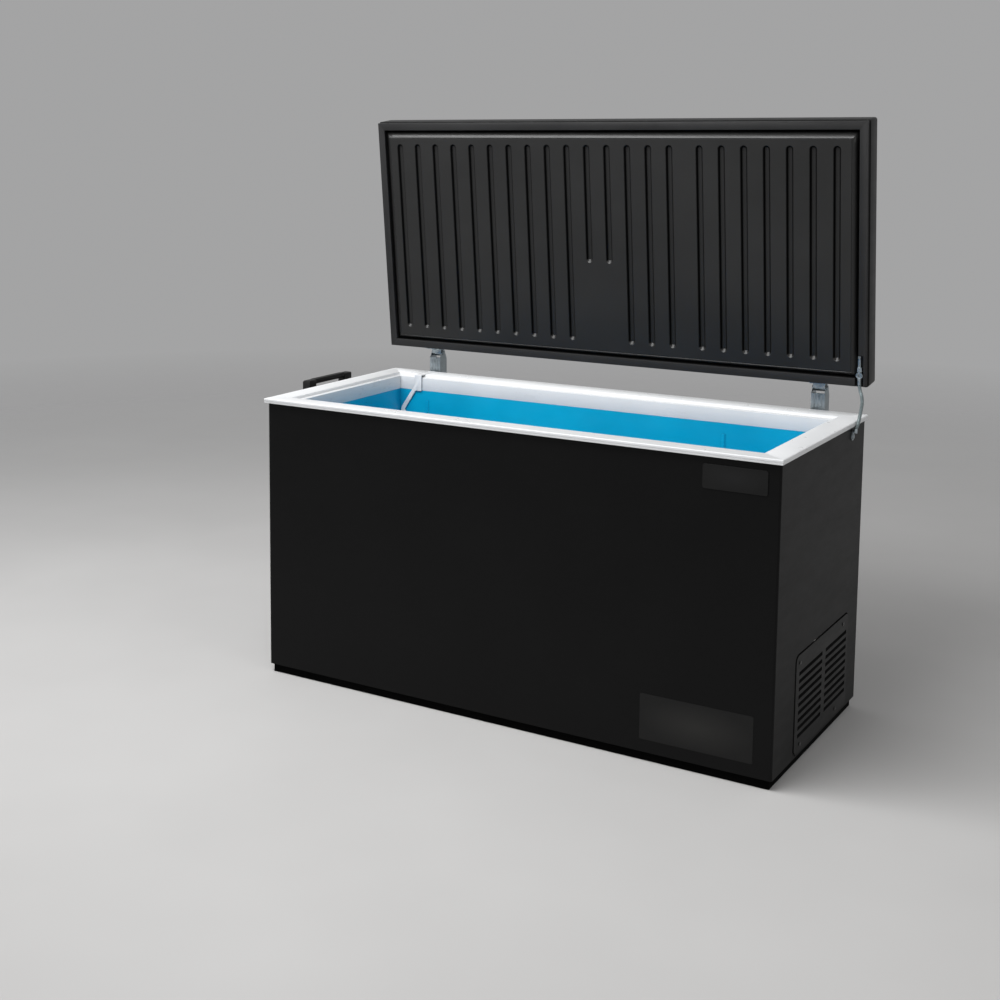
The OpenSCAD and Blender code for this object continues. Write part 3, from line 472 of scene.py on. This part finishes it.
def rounded_box(name, lo, hi, corner, top, bottom):
    """Box with round upright corners and rounded top and bottom edges."""
    bm = bmesh.new()
    steps = 6
    outline = []
    for sx, sy, a0 in ((1, 1, 0), (-1, 1, 90), (-1, -1, 180), (1, -1, 270)):
        for k in range(steps + 1):
            a = math.radians(a0 + 90 * k / steps)
            outline.append((sx, sy, math.cos(a), math.sin(a)))
    cx, cy = (lo[0] + hi[0]) / 2, (lo[1] + hi[1]) / 2
    hx, hy = (hi[0] - lo[0]) / 2, (hi[1] - lo[1]) / 2
    quarter = [math.radians(90 * k / 4) for k in range(5)]
    levels = [(bottom * (1 - math.sin(a)), lo[2] + bottom * (1 - math.cos(a))) for a in quarter]
    levels += [(top * (1 - math.cos(a)), hi[2] - top * (1 - math.sin(a))) for a in quarter]
    # flat bands next to the rounded edges, so that the large faces shade flat
    levels = [(bottom + 0.002, lo[2])] + levels + [(top + 0.002, hi[2])]
    rings = []
    for inset, z in levels:
        r = max(corner - inset, 0.0004)
        rings.append([bm.verts.new((cx + sx * (hx - corner) + r * c, cy + sy * (hy - corner) + r * s, z))
                      for sx, sy, c, s in outline])
    for r0, r1 in zip(rings, rings[1:]):
        for k in range(len(r0)):
            m = (k + 1) % len(r0)
            bm.faces.new((r0[k], r0[m], r1[m], r1[k]))
    bm.faces.new(list(reversed(rings[0])))
    bm.faces.new(rings[-1])
    bmesh.ops.recalc_face_normals(bm, faces=bm.faces)
    mesh = bpy.data.meshes.new(name)
    bm.to_mesh(mesh)
    bm.free()
    return mesh


shell_mesh = rounded_box("lid_outer", (-LX, -LY, LZ0), (LX, LY, LZ1), LID_CORNER,
                         LID_TOP_EDGE, LID_LOW_EDGE)
shell_mesh.transform(SWING)
smooth(shell_mesh)
shell = add_object("lid_outer", shell_mesh, "lid", PAINT_LID)
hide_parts("lid_shell")

# ---------------------------------------------------------------- lid inside with its grooves

# the flat field of the inner face: its height, and how far it reaches
FIELD_Z = LZ0 - 0.0115
FIELD_X = LX - 0.047
FIELD_YF = -(LY - 0.052)
FIELD_YB = LY - 0.044
GROOVE_R = 0.011
GROOVE_DEPTH = 0.007
GROOVES = []
for i in range(22):
    x = (i - 10.5) * 0.0628 + (-0.0145 if i < 15 else 0.0105)
    rear = LY - (0.302 if i in (10, 11) else 0.067) - GROOVE_R
    GROOVES.append((x, LY - 0.646 + GROOVE_R, rear))
# distance from the middle line of a groove, and how deep the surface is there
PROFILE = [(0.0032, 1.0), (0.0042, 1.0), (0.0050, 0.97), (0.0058, 0.88), (0.0066, 0.73), (0.0074, 0.53),
           (0.0082, 0.33), (0.0090, 0.16), (0.0098, 0.05), (0.0106, 0.0), (0.0116, 0.0)]
# how much painted shade the surface gets at each of those distances: the side walls of a groove are painted dark
# and given little specular
GROOVE_WALL_SHADE = [0.0, 0.1, 0.5, 0.85, 1.0, 1.0, 1.0, 0.85, 0.5, 0.15, 0.0]
# moulding round the field: distance outwards and height above the field, then the sloping side of the plug
BEAD = [(0.0010, 0.0), (0.0018, 0.0010), (0.0030, 0.0013), (0.0038, 0.0006), (0.0046, 0.0003), (0.0056, 0.0008)]


def stitch(bm, x):
    """Give both sides of the line at x the same vertices, so that they merge."""
    line = [e for e in bm.edges if len(e.link_faces) == 1 and all(abs(v.co.x - x) < 1e-6 for v in e.verts)]
    heights = sorted({round(v.co.y, 7) for e in line for v in e.verts})
    for e in line:
        start, end = sorted(e.verts, key=lambda v: v.co.y)
        for y in heights:
            if start.co.y + 2e-6 < y < end.co.y - 2e-6:
                made, corner = bmesh.utils.edge_split(e, start, (y - start.co.y) / (end.co.y - start.co.y))
                e = next(n for n in (e, made) if end in n.verts)
                start = corner


def inner_face_mesh():
    bm = bmesh.new()
    wall_shade_layer = bm.verts.layers.float.new("groove_wall")
    edges_x = [-FIELD_X] + [(a[0] + b[0]) / 2 for a, b in zip(GROOVES, GROOVES[1:])] + [FIELD_X]
    for i, (x, yf, yb) in enumerate(GROOVES):
        x0, x1 = edges_x[i], edges_x[i + 1]
        samples = []
        sides = 10
        for y_end, sign in ((yb, 1), (yf, -1)):
            arc = [math.pi * k / 16 for k in range(17)]
            y_edge = FIELD_YB if sign > 0 else FIELD_YF
            for corner_x in (x1, x0):
                a = math.atan2(abs(y_edge - y_end), (corner_x - x) * sign)
                near = min(range(17), key=lambda k: abs(arc[k] - a))
                arc[near] = a
            for a in arc:
                c, s = math.cos(a) * sign, math.sin(a) * sign
                reach = []
                if abs(c) > 1e-9:
                    reach.append(((x1 if c > 0 else x0) - x) / c)
                if abs(s) > 1e-9:
                    reach.append((y_edge - y_end) / s)
                reach = min(r for r in reach if r > 0)
                samples.append((x, y_end, c, s, reach))
            y_other = yf if sign > 0 else yb
            for k in range(1, sides):
                y = y_end + (y_other - y_end) * k / sides
                c = -sign
                samples.append((x, y, c, 0.0, abs((x1 if c > 0 else x0) - x)))
        rings = []
        for (d, depth), wall_shade in zip(PROFILE, GROOVE_WALL_SHADE):
            ring = []
            for px, py, c, s, _ in samples:
                # the rear end of a groove is a flatter ramp than its sides
                ramp = max(s, 0.0) if py == yb else 0.0
                near = d - max(0.0106 - d, 0.0) * 0.42 * ramp
                straight = min(max((0.0104 - d) / 0.0062, 0.0), 1.0)
                level = depth + (straight - depth) * ramp
                ring.append(bm.verts.new((px + c * near, py + s * near, FIELD_Z + level * GROOVE_DEPTH)))
                # painted shade on the groove walls, lifted off the flatter rear ramp so that it stays bright
                ring[-1][wall_shade_layer] = wall_shade * (1 - min(1.6 * ramp, 1.0))
            rings.append(ring)
        rings.append([bm.verts.new((px + c * far, py + s * far, FIELD_Z)) for px, py, c, s, far in samples])
        for r0, r1 in zip(rings, rings[1:]):
            for k in range(len(r0)):
                m = (k + 1) % len(r0)
                bm.faces.new((r0[k], r0[m], r1[m], r1[k]))
        bm.faces.new(rings[0])
    bmesh.ops.remove_doubles(bm, verts=bm.verts, dist=1e-6)
    for x in edges_x[1:-1]:
        stitch(bm, x)
    bmesh.ops.remove_doubles(bm, verts=bm.verts, dist=1e-6)
    tiny = 1e-5

    def sides_of(co):
        """Which border of the field a point is on, as signs along X and Y."""
        sx = (co.x > FIELD_X - tiny) - (co.x < -FIELD_X + tiny)
        sy = (co.y > FIELD_YB - tiny) - (co.y < FIELD_YF + tiny)
        return sx, sy

    def on_border(e):
        a, b = (sides_of(v.co) for v in e.verts)
        return len(e.link_faces) == 1 and ((a[0] and a[0] == b[0]) or (a[1] and a[1] == b[1]))

    border = [e for e in bm.edges if on_border(e)]
    places = {v: sides_of(v.co) for e in border for v in e.verts}
    base_x, base_y = LX - 0.027, LY - 0.027
    reach_x = base_x - FIELD_X
    reach_y = {-1: base_y + FIELD_YF, 0: 0.0, 1: base_y - FIELD_YB}
    last = {v: v for v in places}
    for out, rise in BEAD + [(None, LZ0 - FIELD_Z)]:
        new = {}
        for v, (sx, sy) in places.items():
            dx = reach_x if out is None else out
            dy = reach_y[sy] if out is None else out
            new[v] = bm.verts.new((v.co.x + sx * dx, v.co.y + sy * dy, FIELD_Z + rise))
        for e in border:
            a, b = e.verts
            bm.faces.new((last[a], last[b], new[b], new[a]))
        last = new
    bm.normal_update()
    for f in bm.faces:
        if f.normal.z > 0:
            f.normal_flip()
    mesh = bpy.data.meshes.new("lid_inner_face")
    bm.to_mesh(mesh)
    bm.free()
    return mesh


inner_mesh = inner_face_mesh()
inner_mesh.transform(SWING)
smooth(inner_mesh, 30)
inner = add_object("lid_inner_face", inner_mesh, "lid", INNER)
wall = inner.modifiers.new("wall", "SOLIDIFY")
wall.thickness = 0.0015
wall.offset = -1
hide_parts("lid_liner")

# ---------------------------------------------------------------- hinge springs

turns, wire_r, coil_r = 6, 1.3 * MM, 7 * MM
for side, name in ((-1, "left"), (1, "right")):
    hinge_x = side * (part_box("hinge_pins")[1].x - 0.02105)
    helix = []
    for k in range(turns * 28 + 1):
        a = 2 * math.pi * k / 28
        helix.append(Vector((hinge_x - 0.011 + 0.022 * k / (turns * 28),
                             HINGE.y + coil_r * math.cos(a), HINGE.z + coil_r * math.sin(a))))
    mesh = sweep(helix, lambda i, a, s: wire_r, 12)
    smooth(mesh, 60)
    spring = add_object("hinge_spring_" + name, mesh, "cabinet", SPRING)
    if side == 1:
        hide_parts("hinge_springs")

# ---------------------------------------------------------------- floor and light

FLOOR_HALF = 30
FADE_FROM, FADE_TO = 2.0, 7.0
floor_mesh = bpy.data.meshes.new("floor")
corners = [(-FLOOR_HALF, -FLOOR_HALF, 0), (FLOOR_HALF, -FLOOR_HALF, 0), (FLOOR_HALF, FLOOR_HALF, 0),
           (-FLOOR_HALF, FLOOR_HALF, 0)]
floor_mesh.from_pydata(corners, [], [(0, 1, 2, 3)])
floor = bpy.data.objects.new("floor", floor_mesh)
bpy.context.scene.collection.objects.link(floor)
floor_mat, tree, bsdf = new_material("floor_finish")
v = object_coords(tree)
tree.links.new(mix_colour(tree, map_range(tree, tex_noise(tree, v, 1.2, 3.0), 0, 1), (0.50, 0.495, 0.49),
                          (0.53, 0.525, 0.52)), bsdf.inputs["Base Color"])
bsdf.inputs["Roughness"].default_value = 0.75
bsdf.inputs["Specular IOR Level"].default_value = 0.2
away = tree.nodes.new("ShaderNodeVectorMath")
away.operation = "LENGTH"
tree.links.new(v, away.inputs[0])
clear = tree.nodes.new("ShaderNodeBsdfTransparent")
fade = tree.nodes.new("ShaderNodeMixShader")
tree.links.new(map_range(tree, away.outputs["Value"], 0, 1, FADE_FROM, FADE_TO), fade.inputs[0])
tree.links.new(bsdf.outputs["BSDF"], fade.inputs[1])
tree.links.new(clear.outputs["BSDF"], fade.inputs[2])
surface = next(n for n in tree.nodes if n.type == "OUTPUT_MATERIAL").inputs["Surface"]
tree.links.new(fade.outputs["Shader"], surface)
floor.data.materials.append(floor_mat)

world = bpy.data.worlds.new("studio")
bpy.context.scene.world = world
world.use_nodes = True
world.node_tree.nodes["Background"].inputs["Color"].default_value = (0.88, 0.88, 0.885, 1)
world.node_tree.nodes["Background"].inputs["Strength"].default_value = 0.42


def soft_light(name, place, target, size, energy, tint=(1, 1, 1)):
    data = bpy.data.lights.new(name, "AREA")
    data.shape = "RECTANGLE"
    data.size, data.size_y = size
    data.energy = energy
    data.color = tint
    obj = bpy.data.objects.new(name, data)
    bpy.context.scene.collection.objects.link(obj)
    obj.location = place
    obj.rotation_euler = (Vector(target) - Vector(place)).to_track_quat("-Z", "Y").to_euler()
    return obj


soft_light("top_light", (-0.9, -1.4, 3.4), (-0.2, 0.1, 0.9), (3.4, 1.2), 128)
soft_light("key_light", (4.2, -1.4, 3.0), (0.5, 0, 0.6), (2.4, 2.4), 28, (1.0, 0.99, 0.97))
soft_light("fill_light", (-4.5, -3.0, 2.8), (0, 0, 0.8), (3.0, 2.4), 45, (0.97, 0.98, 1.0))
bpy.context.scene.view_settings.view_transform = "Standard"
